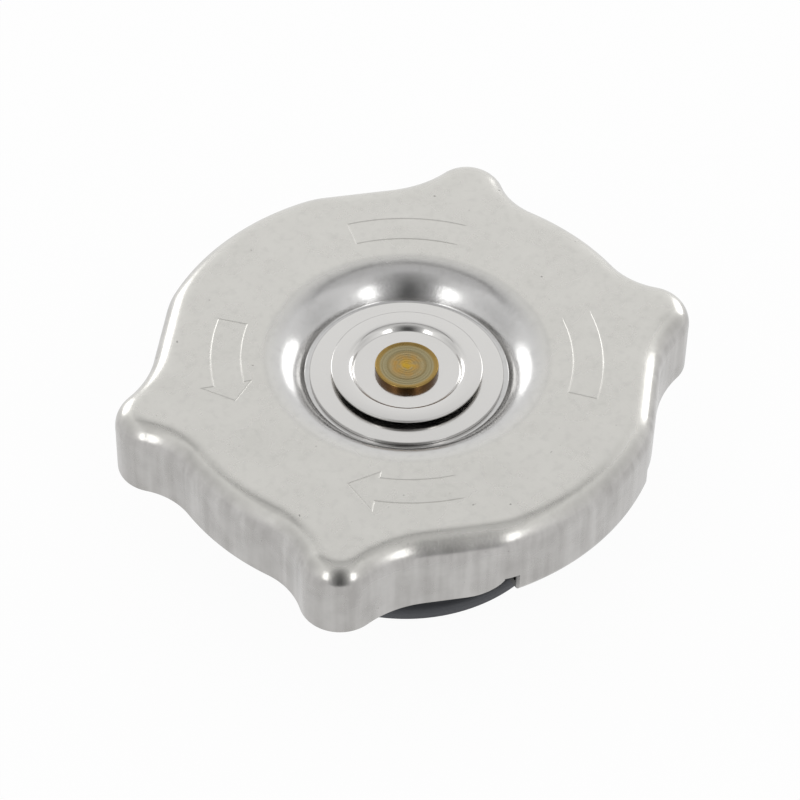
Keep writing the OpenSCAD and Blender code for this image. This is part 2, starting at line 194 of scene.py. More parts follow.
WIDE_RUN = dot(EAR_CENTRE, FLAT_ALONG) + math.sqrt((EAR_TIP_R + HOLLOW_WIDE_R) ** 2 - WIDE_RISE**2)
WIDE_CENTRE = (FLAT_H + HOLLOW_WIDE_R) * FLAT_OUT + WIDE_RUN * FLAT_ALONG
CORNER_RUN = math.sqrt((BODY_R - CORNER_R) ** 2 - (FLAT_H - CORNER_R) ** 2)
CORNER_CENTRE = (FLAT_H - CORNER_R) * FLAT_OUT + CORNER_RUN * FLAT_ALONG


def arc(centre, r, start, turn, steps):
    """Points of an arc, without its first point."""
    return [centre + cmath.rect(r, start + turn * i / steps) for i in range(1, steps + 1)]


def arc_between(centre, r, p, q, steps):
    """Points of the arc between the bearings of p and q, without its first point."""
    start = cmath.phase(p - centre)
    return arc(centre, r, start, math.remainder(cmath.phase(q - centre) - start, math.tau), steps)


def line_to(start, end, steps):
    """Points of a line, without its first point."""
    return [start + (end - start) * i / steps for i in range(1, steps + 1)]


def quarter_outline(d):
    """Quarter of the cover's outline, moved inwards by d, from +X round to +Y."""
    corner_from = cmath.phase(CORNER_CENTRE)
    points = [complex(BODY_R - d, 0)]
    points += arc(0, BODY_R - d, 0, NARROW_ANGLE, SIDE_STEPS)
    points += arc_between(NARROW_CENTRE, HOLLOW_NARROW_R + d, 0, EAR_CENTRE, HOLLOW_STEPS)
    points += arc_between(EAR_CENTRE, EAR_TIP_R - d, NARROW_CENTRE, WIDE_CENTRE, EAR_STEPS)
    points += arc_between(WIDE_CENTRE, HOLLOW_WIDE_R + d, EAR_CENTRE, WIDE_CENTRE - FLAT_OUT, HOLLOW_STEPS)
    points += line_to(points[-1], CORNER_CENTRE + (CORNER_R - d) * FLAT_OUT, FLAT_STEPS)
    points += arc(CORNER_CENTRE, CORNER_R - d, FLAT_ANGLE, corner_from - FLAT_ANGLE, CORNER_STEPS)
    points += arc(0, BODY_R - d, corner_from, math.pi / 2 - corner_from, WIDE_STEPS)
    return points


def outline(d):
    """Whole outline of the cover, moved inwards by d."""
    quarter = quarter_outline(d)
    half = quarter + [complex(-p.real, p.imag) for p in quarter[-2::-1]]
    return half + [p.conjugate() for p in half[-2:0:-1]]


BEARINGS = [cmath.phase(p) for p in outline(0)]


def outline_row(d, z):
    return [(p.real, p.imag, z) for p in outline(d)]


def circle_row(r, z):
    return [(r * math.cos(a), r * math.sin(a), z) for a in BEARINGS]


# Sections
def quarter_turn(steps):
    """Angles of a quarter turn."""
    return [math.pi / 2 * i / steps for i in range(steps + 1)]


def bend(before, corner, after, r):
    """Points and headings of one bend in a sheet's middle line."""
    heading = cmath.phase(corner - before)
    turn = math.remainder(cmath.phase(after - corner) - heading, math.tau)
    across = 1j * math.copysign(r, turn)
    centre = corner - cmath.rect(r * math.tan(abs(turn) / 2), heading) + across * cmath.rect(1, heading)
    headings = [heading + turn * i / BEND_STEPS for i in range(BEND_STEPS + 1)]
    return [(centre - across * cmath.rect(1, h), h) for h in headings]


def sheet_sides(path, t, bends):
    """Left and right side of a bent sheet's section, from its middle line's corners and bend radii."""
    line = [(path[0], cmath.phase(path[1] - path[0]))]
    for i, r in enumerate(bends, 1):
        line += bend(path[i - 1], path[i], path[i + 1], r)
    line.append((path[-1], cmath.phase(path[-1] - path[-2])))
    left = [p + t / 2 * 1j * cmath.rect(1, h) for p, h in line]
    right = [p - t / 2 * 1j * cmath.rect(1, h) for p, h in line]
    return left, right


def rounded(points, radii):
    """Closed outline with its corners rounded by the given radii."""
    made = []
    for i, (p, r) in enumerate(zip(points, radii)):
        before, after = points[i - 1], points[(i + 1) % len(points)]
        made += [p] if r == 0 else [q for q, _ in bend(before, p, after, r)]
    return made


# Objects and meshes
def link_object(name, data):
    made = bpy.data.objects.new(name, data)
    bpy.context.scene.collection.objects.link(made)
    return made


def paint(piece, material):
    piece.data.materials.clear()
    piece.data.materials.append(material)


def dress(made, slot):
    """Give a piece the material of its slot."""
    paint(made, SLOT_MATERIALS[slot])


def new_object(name, bm, smooth_angle=SMOOTH):
    """Object from a mesh in millimetres, with its faces turned outwards and shaded smooth below an angle."""
    bmesh.ops.remove_doubles(bm, verts=bm.verts, dist=WELD)
    bmesh.ops.recalc_face_normals(bm, faces=bm.faces)
    bmesh.ops.scale(bm, vec=(MM, MM, MM), verts=bm.verts)
    mesh = bpy.data.meshes.new(name)
    bm.to_mesh(mesh)
    bm.free()
    mesh.shade_smooth()
    mesh.set_sharp_from_angle(angle=math.radians(smooth_angle))
    return link_object(name, mesh)


def add_grid(bm, rows):
    """Quads between closed rows of points."""
    grid = [[bm.verts.new(p) for p in row] for row in rows]
    count = len(rows[0])
    for low, high in zip(grid, grid[1:]):
        for i in range(count):
            k = (i + 1) % count
            bm.faces.new((low[i], low[k], high[k], high[i]))


def lathe(name, section, smooth_angle=SMOOTH):
    """Round piece from the closed outline of its section, given as radius and height."""
    bm = bmesh.new()
    turns = [math.tau * i / LATHE_STEPS for i in range(LATHE_STEPS)]
    loop = section + section[:1]
    add_grid(bm, [[(p.real * math.cos(a), p.real * math.sin(a), p.imag) for a in turns] for p in loop])
    return new_object(name, bm, smooth_angle)


# Skirt and tabs of the cover: sections are inward distances and heights, from the outside round to the inside
def notch_section(top):
    return [(0, top), (SHEET_T, top)]


def skirt_section(edge, top):
    soft = min(SKIRT_SOFT, top - edge)
    outside = [(0, top), (0, edge + soft), (soft, edge)]
    inside = [(SHEET_T - soft, edge), (SHEET_T, edge + soft), (SHEET_T, top)]
    return outside + inside


def tab_section(top):
    """Section of a tab, bent inwards to its flange."""
    flange = SHEET_T + TAB_FLANGE_W
    turns = quarter_turn(BEND_STEPS)
    centre_z = TAB_Z + TAB_BEND
    inner = TAB_BEND - SHEET_T
    outside = [(TAB_BEND * (1 - math.cos(a)), centre_z - TAB_BEND * math.sin(a)) for a in turns]
    inside = [(TAB_BEND - inner * math.cos(a), centre_z - inner * math.sin(a)) for a in reversed(turns)]
    return [(0, top)] + outside + [(flange, TAB_Z), (flange, TAB_Z + SHEET_T)] + inside + [(SHEET_T, top)]


def edge_at(bearing, top):
    """Kind and section of the cover's lower edge at a bearing: tab, notch or skirt."""
    for middle in (90, 270):
        a = math.degrees(math.remainder(bearing - math.radians(middle), math.tau))
        if TAB_FROM <= a <= TAB_TO:
            return "tab", tab_section(top)
        beyond = max(TAB_FROM - a, a - TAB_TO)
        if beyond < NOTCH_ANGLE:
            return "notch", notch_section(top)
        run = math.radians(beyond - NOTCH_ANGLE) * BODY_R
        if run < RELIEF_W:
            relief_r = (RELIEF_W**2 + NOTCH_H**2) / (2 * NOTCH_H)
            rise = relief_r - math.sqrt(relief_r**2 - (RELIEF_W - run) ** 2)
            return "skirt", skirt_section(SKIRT_Z + rise, top)
    return "skirt", skirt_section(SKIRT_Z, top)


def add_skirt_edge(bm, top):
    """Lower edge of the cover: skirt and tabs, closed at their ends, with the notches between them."""
    edge = [edge_at(a, top) for a in BEARINGS]
    depths = {d for _, section in edge for d, _ in section}
    plans = {d: outline(d) for d in depths}

    def column(i, section):
        return [bm.verts.new((plans[d][i].real, plans[d][i].imag, z)) for d, z in section]

    for i, (kind, section) in enumerate(edge):
        k = (i + 1) % len(edge)
        next_kind, next_section = edge[k]
        if kind == next_kind:
            a, b = column(i, section), column(k, next_section)
        else:
            a, b = column(i, notch_section(top)), column(k, notch_section(top))
        for m in range(len(a) - 1):
            bm.faces.new((a[m], a[m + 1], b[m + 1], b[m]))
        neighbours = [edge[i - 1][0], next_kind]
        if kind != "notch" and neighbours.count(kind) == 1:
            bm.faces.new(column(i, section))


# Arrows pressed into the top of the cover
def arc_points(r, start, end, steps):
    """Points of an arc between two bearings in degrees."""
    return [cmath.rect(r, math.radians(start + (end - start) * i / steps)) for i in range(steps + 1)]


def arrow_path(flat, shoulder, tip):
    """Outline of a curved arrow, from the outer to the inner corner of its flat end."""
    barb_out = cmath.rect(ARROW_OUT_R + ARROW_BARB_OUT, math.radians(shoulder))
    point = cmath.rect((ARROW_IN_R + ARROW_OUT_R) / 2, math.radians(tip))
    barb_in = cmath.rect(ARROW_IN_R - ARROW_BARB_IN, math.radians(shoulder))
    outer = arc_points(ARROW_OUT_R, flat, shoulder, ARROW_STEPS)
    inner = arc_points(ARROW_IN_R, shoulder, flat, ARROW_STEPS)
    return outer + [barb_out, point, barb_in] + inner


def bar_path(flat, end):
    """Outline of a curved bar, from the outer to the inner corner of its open end."""
    return arc_points(ARROW_OUT_R, end, flat, BAR_STEPS) + arc_points(ARROW_IN_R, flat, end, BAR_STEPS)


def side_points(path, distance, closed):
    """Path moved sideways by a distance, with mitred corners; an open path's ends stay."""
    sharpest = 0.4
    moved = []
    count = len(path)
    for i, p in enumerate(path):
        if not closed and i in (0, count - 1):
            moved.append(p)
            continue
        a = (p - path[i - 1]) / abs(p - path[i - 1])
        b = (path[(i + 1) % count] - p) / abs(path[(i + 1) % count] - p)
        mitre = (a + b) / abs(a + b)
        moved.append(p + 1j * mitre * distance / max(dot(a, mitre), sharpest))
    return moved


# Each outline's bearings in degrees, and whether it is closed
ARROWS = [
    (arrow_path(flat=240.6, shoulder=214.4, tip=205.3), False),
    (arrow_path(flat=119.6, shoulder=147.2, tip=154.6), True),
    (bar_path(flat=61.9, end=24.9), False),
    (bar_path(flat=296.9, end=333.4), False),
]


def add_top_plate(bm, inner, outer):
    """Flat top between two loops of plan points, with the arrows pressed into it."""
    points = []
    edges = []
    low = set()

    def add_loop(loop, closed, sunk=False):
        first = len(points)
        points.extend(Vector((p.real, p.imag)) for p in loop)
        ends = len(loop) if closed else len(loop) - 1
        edges.extend((first + i, first + (i + 1) % len(loop)) for i in range(ends))
        if sunk and closed:
            low.update(range(first, first + len(loop)))
        elif sunk:
            low.update(range(first + 1, first + len(loop) - 1))

    add_loop(inner, True)
    add_loop(outer, True)
    for path, closed in ARROWS:
        add_loop(path, closed, sunk=True)
        add_loop(side_points(path, GROOVE_W / 2, closed), closed)
        add_loop(side_points(path, -GROOVE_W / 2, closed), closed)
    found, _, faces, origins, _, _ = delaunay_2d_cdt(points, edges, [], 1, SAME_POINT)
    depths = [GROOVE_DEPTH if any(o in low for o in origin) else 0 for origin in origins]
    verts = [bm.verts.new((p.x, p.y, TOP_Z - depth)) for p, depth in zip(found, depths)]
    at_hole = [any(o < len(inner) for o in origin) for origin in origins]
    for face in faces:
        if not all(at_hole[i] for i in face):
            bm.faces.new([verts[i] for i in face])


# Cover
def roll_rows(r, top):
    """Rows of the rolled edge at a radius, from its top down."""
    turns = quarter_turn(ROLL_STEPS)
    return [outline_row(ROLL_R - r * math.sin(a), top - r * (1 - math.cos(a))) for a in turns]


def build_cover():
    """Cover of one bent sheet: well, top with its arrows, rolled edge, skirt and tabs."""
    wall_top = SKIRT_Z + NOTCH_H
    plate_in, plate_out = PLATE_R + PLATE_MARGIN, ROLL_R + PLATE_MARGIN
    top_mid, floor_mid = TOP_Z - SHEET_T / 2, FLOOR_Z - SHEET_T / 2
    path = [complex(RIVET_HOLE_R, floor_mid), complex(WELL_R, floor_mid)]
    path += [complex(WELL_R + WELL_SLOPE, top_mid), complex(PLATE_R, top_mid)]
    upper, lower = sheet_sides(path, SHEET_T, [WELL_FLOOR_BEND, WELL_LIP_BEND])
    upper.append(complex(plate_in, TOP_Z))
    bm = bmesh.new()
    add_grid(bm, [circle_row(p.real, p.imag) for p in upper])
    add_top_plate(bm, [cmath.rect(plate_in, a) for a in BEARINGS], outline(plate_out))
    add_grid(bm, [outline_row(plate_out, TOP_Z)] + roll_rows(ROLL_R, TOP_Z) + [outline_row(0, wall_top)])
    add_skirt_edge(bm, wall_top)
    inside = [outline_row(SHEET_T, wall_top)] + roll_rows(ROLL_R - SHEET_T, TOP_Z - SHEET_T)[::-1]
    inside += [circle_row(p.real, p.imag) for p in reversed(lower)]
    inside.append(circle_row(RIVET_HOLE_R, FLOOR_Z))
    add_grid(bm, inside)
    made = new_object("cover_skin", bm, COVER_SMOOTH)
    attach(made, "cover")
    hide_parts("cover")
    dress(made, "cover_steel")


# Washers, rivet and seal
def build_flat_washer():
    """Flat washer with a rounded upper edge."""
    top = WASHER_Z + WASHER_T
    edge = complex(WASHER_R - WASHER_EDGE, top - WASHER_EDGE)
    section = [complex(WASHER_HOLE_R, WASHER_Z), complex(WASHER_R, WASHER_Z)]
    section += [edge + cmath.rect(WASHER_EDGE, a) for a in quarter_turn(BEND_STEPS)]
    section.append(complex(WASHER_HOLE_R, top))
    made = lathe("flat_washer_turned", section)
    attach(made, "carrier")
    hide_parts("flat_washer")
    dress(made, "polished_steel")


def build_cup_washer():
    """Dished washer of bent sheet with a rounded edge."""
    floor_mid = CUP_Z + CUP_T / 2
    rim = complex(CUP_R - CUP_EDGE_IN, floor_mid + CUP_H)
    path = [complex(WASHER_HOLE_R, floor_mid), complex(CUP_FLOOR_R, floor_mid)]
    path += [complex(CUP_FLOOR_R + CUP_WALL_W, rim.imag), rim]
    upper, lower = sheet_sides(path, CUP_T, [CUP_T, CUP_LIP_BEND])
    edge = [rim + cmath.rect(CUP_T / 2, CUP_EDGE_TURN * i) for i in range(2, -3, -1)]
    made = lathe("cup_washer_pressed", upper + edge + lower[::-1])
    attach(made, "carrier")
    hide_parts("cup_washer")
    dress(made, "polished_steel")


def build_rivet():
    """Rivet with a rounded rim and turned rings in its dished head."""
    steps = RING_STEPS * HEAD_RINGS
    dish = []
    for i in range(steps + 1):
        r = DISH_R * (1 - i / steps)
        ripple = RING_H * math.cos(math.tau * HEAD_RINGS * r / DISH_R)
        dish.append(complex(max(r, AXIS_R), HEAD_TOP - HEAD_DISH + ripple))
    rim_centre = complex(HEAD_R - HEAD_RIM, HEAD_TOP - HEAD_RIM)
    rim = [rim_centre + cmath.rect(HEAD_RIM, a) for a in quarter_turn(RIM_STEPS)]
    end_low = RIVET_END_Z - RIVET_END_H
    section = [complex(AXIS_R, end_low), complex(RIVET_END_R, end_low), complex(RIVET_END_R, RIVET_END_Z)]
    section += [complex(SHANK_R, RIVET_END_Z), complex(SHANK_R, HEAD_Z), complex(HEAD_R, HEAD_Z)]
    made = lathe("rivet_turned", section + rim + dish, RIVET_SMOOTH)
    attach(made, "carrier")
    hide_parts("rivet")
    dress(made, "rivet_brass")


def build_seal():
    """Rubber disc with a lip under its rim."""
    web_z = SEAL_T - SEAL_WEB_T
    lip_r = SEAL_R - SEAL_LIP_W
    corners = [complex(SEAL_HOLE_R, web_z), complex(lip_r, web_z), complex(lip_r, 0), complex(SEAL_R, 0)]
    corners += [complex(SEAL_R, SEAL_T), complex(SEAL_HOLE_R, SEAL_T)]
    radii = [0, SEAL_WEB_ROUND, SEAL_LIP_ROUND, SEAL_LIP_ROUND, SEAL_ROUND, 0]
    made = lathe("pressure_seal_moulded", rounded(corners, radii))
    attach(made, "pressure_valve")
    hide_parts("pressure_seal")
    dress(made, "seal_rubber")


# Springs
def build_spring(name, node, body, joint, anchor_z, travel, r, wire, turns, low, high):
    """Round wire wound with one closed turn at each end."""
    end_rise = wire * CLOSED_PITCH
    middle_rise = (high - low - wire - 2 * end_rise) / (turns - 2)
    rows = []
    for i in range(round(turns * COIL_STEPS) + 1):
        n = i / COIL_STEPS
        closed_turns = min(n, 1) + max(n - turns + 1, 0)
        open_turns = min(max(n - 1, 0), turns - 2)
        z = low + wire / 2 + end_rise * closed_turns + middle_rise * open_turns
        ring = []
        for k in range(WIRE_SIDES):
            across = cmath.rect(wire / 2, math.tau * k / WIRE_SIDES)
            point = cmath.rect(r + across.real, math.tau * n)
            ring.append((point.real, point.imag, z + across.imag))
        rows.append(ring)
    bm = bmesh.new()
    add_grid(bm, rows)
    bm.faces.new([bm.verts.new(p) for p in rows[0]])
    bm.faces.new([bm.verts.new(p) for p in rows[-1][::-1]])
    made = new_object(name, bm)
    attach(made, body)
    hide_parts(node)
    dress(made, "spring_steel")
    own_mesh(made)


# Shader nodes
def node(tree, kind, inputs=None, **settings):
    """New shader node: a socket among the inputs is linked, and any other value is set."""
    made = tree.nodes.new(kind)
    for name, value in settings.items():
        setattr(made, name, value)
    for key, value in (inputs or {}).items():
        if isinstance(value, bpy.types.NodeSocket):
            tree.links.new(value, made.inputs[key])
        else:
            made.inputs[key].default_value = value
    return made


def new_material(name, inputs):
    """Material with its shader's constant values set."""
    made = bpy.data.materials.new(name)
    made.use_nodes = True
    shader = made.node_tree.nodes["Principled BSDF"]
    for key, value in inputs.items():
        shader.inputs[key].default_value = value
    return made, made.node_tree, shader


def calc(tree, operation, a, b):
    return node(tree, "ShaderNodeMath", {0: a, 1: b}, operation=operation).outputs[0]


def vector_calc(tree, operation, a, b=(0, 0, 0)):
    return node(tree, "ShaderNodeVectorMath", {0: a, 1: b}, operation=operation).outputs


def product(tree, first, *others):
    """Product of several values."""
    for value in others:
        first = calc(tree, "MULTIPLY", first, value)
    return first


def ramp(tree, value, low, high, to_low=0.0, to_high=1.0):
    """Value carried from one range to another, and held at its ends."""
    inputs = {"Value": value, "From Min": low, "From Max": high, "To Min": to_low, "To Max": to_high}
    return node(tree, "ShaderNodeMapRange", inputs).outputs["Result"]


def between(tree, length, start, end, to_start=0.0, to_end=1.0):
    """Ramp over a length, between two distances in millimetres."""
    return ramp(tree, length, start * MM, end * MM, to_start, to_end)


def spread(tree, noise, low=0.0, high=1.0):
    """Noise carried from the range that it mostly keeps to another."""
    usual_low, usual_high = 0.3, 0.7
    return ramp(tree, noise, usual_low, usual_high, low, high)


def mix_colour(tree, share, a, b):
    made = node(tree, "ShaderNodeMix", data_type="RGBA")
    for socket, value in zip((made.inputs[0], made.inputs[6], made.inputs[7]), (share, a, b)):
        if isinstance(value, bpy.types.NodeSocket):
            tree.links.new(value, socket)
        else:
            socket.default_value = value
    return made.outputs[2]


def place_of(tree):
    """Position on the part in metres, in the frame of the CAD."""
    return node(tree, "ShaderNodeTexCoord").outputs["Object"]


def radius_of(tree, place):
    flat = vector_calc(tree, "MULTIPLY", place, (1, 1, 0))[0]
    return vector_calc(tree, "LENGTH", flat)["Value"]


def height_of(tree, place):
    return node(tree, "ShaderNodeSeparateXYZ", {0: place}).outputs["Z"]


def noise_at(tree, place, scale, detail=3.0, stretch=(1, 1, 1)):
    """Noise of a size in features a metre, stretched along the axes."""
    mapped = vector_calc(tree, "MULTIPLY", place, stretch)[0]
    inputs = {"Vector": mapped, "Scale": scale, "Detail": detail}
    return node(tree, "ShaderNodeTexNoise", inputs).outputs["Fac"]


def turned_rings(tree, radius, scale):
    """Uneven rings round the axis, as many a metre as the scale."""
    inputs = {"W": calc(tree, "MULTIPLY", radius, scale), "Scale": 1.0}
    return node(tree, "ShaderNodeTexNoise", inputs, noise_dimensions="1D").outputs["Fac"]


def bumps(tree, *layers):
    """Normal of several bump layers, each a height and a depth in millimetres."""
    normal = None
    for height, depth in layers:
        inputs = {"Height": height, "Strength": 1.0, "Distance": depth * MM}
        if normal:
            inputs["Normal"] = normal
        normal = node(tree, "ShaderNodeBump", inputs).outputs["Normal"]
    return normal


def finish_shader(tree, shader, **sockets):
    """Link values to the shader's sockets."""
    names = {"colour": "Base Color", "roughness": "Roughness", "normal": "Normal"}
    for key, value in sockets.items():
        tree.links.new(value, shader.inputs[names[key]])


# Sheet steel of the cover: tones, some of them painted shade, and radii between which the finish changes
SATIN_DARK = (0.59, 0.58, 0.55, 1)
SATIN_LIGHT = (0.68, 0.67, 0.637, 1)
WELL_TONE = (0.58, 0.575, 0.57, 1)
# painted shade: faint dark line along the crease round the well
CREASE_SHADE_TONE = (0.35, 0.345, 0.34, 1)
# painted shade: near-black inside of the skirt
INSIDE_SHADE_TONE = (0.1, 0.1, 0.097, 1)
# painted shade: the rolled edge and skirt darker than the top, under their drawn smudges
SKIRT_SHADE_DARK = (0.39, 0.38, 0.368, 1)
SKIRT_SHADE_LIGHT = (0.51, 0.5, 0.488, 1)
MOTTLE_TONE = (0.4, 0.395, 0.38, 1)
PIT_TONE = (0.12, 0.115, 0.105, 1)
WELL_FADE_R = (17.4, 15.2)
RIM_FADE_R = (24, 26)
INSIDE_FADE_R = (30.25, 30.1)
CREASE_R = 17.1
CREASE_W = 0.5
ROLL_Z = TOP_Z - ROLL_R


def cover_masks(tree, place):
    """Masks of the well, the rolled edge, the skirt and its inside, where painted shade goes, and the faint
    crease round the well, painted as a shade line.
    """
    radius = radius_of(tree, place)
    height = height_of(tree, place)
    at_rim = between(tree, radius, *RIM_FADE_R)
    below_top = between(tree, height, TOP_Z - 0.1, TOP_Z - 0.5)
    above_skirt = between(tree, height, ROLL_Z, ROLL_Z + 0.9)
    below_roll = between(tree, height, ROLL_Z + 0.2, ROLL_Z)
    from_crease = calc(tree, "ABSOLUTE", calc(tree, "SUBTRACT", radius, CREASE_R * MM), 0.0)
    return {
        "well": between(tree, radius, *WELL_FADE_R),
        "roll": product(tree, below_top, above_skirt, at_rim),
        "skirt": product(tree, between(tree, height, TOP_Z - 0.3, TOP_Z - 1.6), at_rim),
        # inside of the skirt, which gets painted shade
        "inside": product(tree, between(tree, radius, *INSIDE_FADE_R), below_roll, at_rim),
        # painted shade line along the crease round the well
        "crease": between(tree, from_crease, 0, CREASE_W, 0.14, 0.0),
    }


def cover_colour(tree, place, masks, cloud, draw_marks):
    """Clouded top, rolled edge and skirt darkened with painted shade under smudges and upright marks, painted
    shade inside the skirt and along the crease, mottle and a few pits.
    """
    top = mix_colour(tree, cloud, SATIN_DARK, SATIN_LIGHT)
    top = mix_colour(tree, masks["well"], top, WELL_TONE)
    # painted shade along the crease round the well
    top = mix_colour(tree, masks["crease"], top, CREASE_SHADE_TONE)
    smudges = ramp(tree, calc(tree, "ADD", draw_marks, cloud), 0.75, 1.25)
    # painted shade: the rolled edge and skirt take darker tones, varied by the drawn smudges
    skirt = mix_colour(tree, smudges, SKIRT_SHADE_DARK, SKIRT_SHADE_LIGHT)
    colour = mix_colour(tree, masks["skirt"], top, skirt)
    # painted shade on the inside of the skirt
    colour = mix_colour(tree, masks["inside"], colour, INSIDE_SHADE_TONE)
    mottle = ramp(tree, noise_at(tree, place, 900), 0.5, 0.75, 0.0, 0.18)
    colour = mix_colour(tree, mottle, colour, MOTTLE_TONE)
    pits = ramp(tree, noise_at(tree, place, 1300, 1), 0.79, 0.83, 0.0, 0.6)
    return mix_colour(tree, pits, colour, PIT_TONE)


def cover_steel():
    """Satin sheet with a smoother well and rolled edge, and a drawn skirt, the rolled edge and skirt darkened
    with painted shade.
    """
    made, tree, shader = new_material("cover_steel", {"Metallic": 1.0})
    place = place_of(tree)
    masks = cover_masks(tree, place)
    cloud = noise_at(tree, place, 260, 4)
    draw_marks = noise_at(tree, place, 1, 2, (700, 700, 40))
    dull = spread(tree, cloud, 0.25, 0.31)
    dull = calc(tree, "SUBTRACT", dull, product(tree, masks["roll"], 0.055))
    dull = calc(tree, "SUBTRACT", dull, product(tree, masks["well"], 0.06))
    waves = noise_at(tree, place, 150, 1)
    grain = noise_at(tree, place, 2600)
    streaks = product(tree, draw_marks, masks["skirt"])
    normal = bumps(tree, (waves, 0.1), (grain, 0.007), (streaks, 0.008))
    colour = cover_colour(tree, place, masks, cloud, draw_marks)
    finish_shader(tree, shader, colour=colour, roughness=dull, normal=normal)
    return made


# Other materials
POLISHED_TONE = (0.66, 0.65, 0.635, 1)
RING_BROWN = (0.25, 0.2, 0.1, 1)
RING_OLIVE = (0.34, 0.3, 0.18, 1)
TARNISH_TONE = (0.42, 0.25, 0.07, 1)
GOLD_TONE = (0.5, 0.31, 0.04, 1)
RIM_TONE = (0.33, 0.22, 0.07, 1)
# painted shade: dark side of the rivet's head
SIDE_SHADE_TONE = (0.12, 0.06, 0.02, 1)
RUBBER_TONE = (0.062, 0.065, 0.074, 1)
RUBBED_TONE = (0.2, 0.2, 0.2, 1)


def polished_steel():
    """Bright washer with faint turned rings."""
    made, tree, shader = new_material("polished_steel", {"Metallic": 1.0, "Base Color": POLISHED_TONE})
    place = place_of(tree)
    rings = turned_rings(tree, radius_of(tree, place), 2600)
    dull = spread(tree, noise_at(tree, place, 500), 0.13, 0.18)
    finish_shader(tree, shader, roughness=dull, normal=bumps(tree, (rings, 0.002)))
    return made


def turned_brass():
    """Tarnished brass: olive and brown rings on the rivet's head, golden in its middle, and a side darkened
    with painted shade.
    """
    made, tree, shader = new_material("turned_brass", {"Metallic": 1.0})
    place = place_of(tree)
    radius = radius_of(tree, place)
    cloud = noise_at(tree, place, 1100, 5)
    rings = turned_rings(tree, radius, 2400)
    tarnish = product(tree, between(tree, radius, 2.4, 1.4), ramp(tree, cloud, 0.35, 0.6, 0.3, 1.0))
    golden = product(tree, between(tree, radius, 1.3, 0.4), ramp(tree, cloud, 0.35, 0.55))
    below_top = between(tree, height_of(tree, place), HEAD_TOP - 0.05, HEAD_TOP - 0.2)
    # painted shade on the side of the head
    side_shade = product(tree, below_top, between(tree, radius, 3.5, 3.6))
    colour = mix_colour(tree, ramp(tree, rings, 0.35, 0.65), RING_BROWN, RING_OLIVE)
    colour = mix_colour(tree, tarnish, colour, TARNISH_TONE)
    colour = mix_colour(tree, golden, colour, GOLD_TONE)
    colour = mix_colour(tree, between(tree, radius, 3.1, 3.4), colour, RIM_TONE)
    colour = mix_colour(tree, side_shade, colour, SIDE_SHADE_TONE)
    normal = bumps(tree, (rings, 0.018), (cloud, 0.024))
    finish_shader(tree, shader, colour=colour, roughness=spread(tree, cloud, 0.22, 0.36), normal=normal)
    return made


def plain_metal(name, dark, light, roughness):
    """Metal with a soft uneven tone."""
    made, tree, shader = new_material(name, {"Metallic": 1.0, "Roughness": roughness})
    cloud = noise_at(tree, place_of(tree), 420, 4)
    colour = mix_colour(tree, spread(tree, cloud), dark, light)
    finish_shader(tree, shader, colour=colour, normal=bumps(tree, (cloud, 0.01)))
    return made


def seal_rubber():
    """Matt rubber with a fine grain and a few rubbed specks."""
    made, tree, shader = new_material("seal_rubber", {"Roughness": 0.55})
    place = place_of(tree)
    specks = ramp(tree, noise_at(tree, place, 1500, 2), 0.7, 0.8, 0.0, 0.3)
    colour = mix_colour(tree, specks, RUBBER_TONE, RUBBED_TONE)
    grain = noise_at(tree, place, 2500, 2)
    finish_shader(tree, shader, colour=colour, normal=bumps(tree, (grain, 0.01)))
    return made


# Studio in metres: bearings go from the camera's side to the right of the picture, and heights are angles
VIEW_TURN = math.radians(47.33)
VIEW_RISE = math.radians(46.27)
AWAY = Vector((math.sin(VIEW_TURN), math.cos(VIEW_TURN), 0))
RIGHT = Vector((math.cos(VIEW_TURN), -math.sin(VIEW_TURN), 0))
STUDIO_R = 1.2
FLOOR_HALF = 3.0
FLOOR_Z_M = -0.00002
FLOOR_TONE = (0.92, 0.92, 0.92, 1)
FLOOR_GLOW = 0.95
WORLD_LIGHT = 0.7


def face_middle(made, bearing, rise, distance):
    """Put a studio object at its bearing, height and distance, facing the part."""
    bearing, rise = math.radians(bearing), math.radians(rise)
    level = RIGHT * math.sin(bearing) - AWAY * math.cos(bearing)
    out = level * math.cos(rise) + Vector((0, 0, math.sin(rise)))
    made.location = out * distance
    made.rotation_euler = (-out).to_track_quat("-Z", "Y").to_euler()


def span(angle, distance):
    """Width that fills an angle in degrees at a distance."""
    return 2 * distance * math.tan(math.radians(angle) / 2)


def build_softbox(name, bearing, rise, wide, tall, brightness):
    """Area lamp of a brightness where white is 1."""
    lamp = bpy.data.lights.new(name, "AREA")
    lamp.shape = "ELLIPSE"
    lamp.size = span(wide, STUDIO_R)
    lamp.size_y = span(tall, STUDIO_R)
    area = math.pi / 4 * lamp.size * lamp.size_y
    lamp.energy = brightness * math.pi * area
    face_middle(link_object(name, lamp), bearing, rise, STUDIO_R)


def card_material(name, half_w, half_h, tones, plain):
    """Glow of a card: its middle tone up to a share of its size, then fading to its edge tone."""
    material = bpy.data.materials.new(name)
    material.use_nodes = True
    tree = material.node_tree
    tree.nodes.clear()
    across = vector_calc(tree, "MULTIPLY", place_of(tree), (1 / half_w, 1 / half_h, 0))[0]
    out = vector_calc(tree, "LENGTH", across)["Value"]
    tone = ramp(tree, out, plain, 1.0, *tones)
    glow = node(tree, "ShaderNodeEmission", {"Strength": tone})
    node(tree, "ShaderNodeOutputMaterial", {"Surface": glow.outputs[0]})
    return material


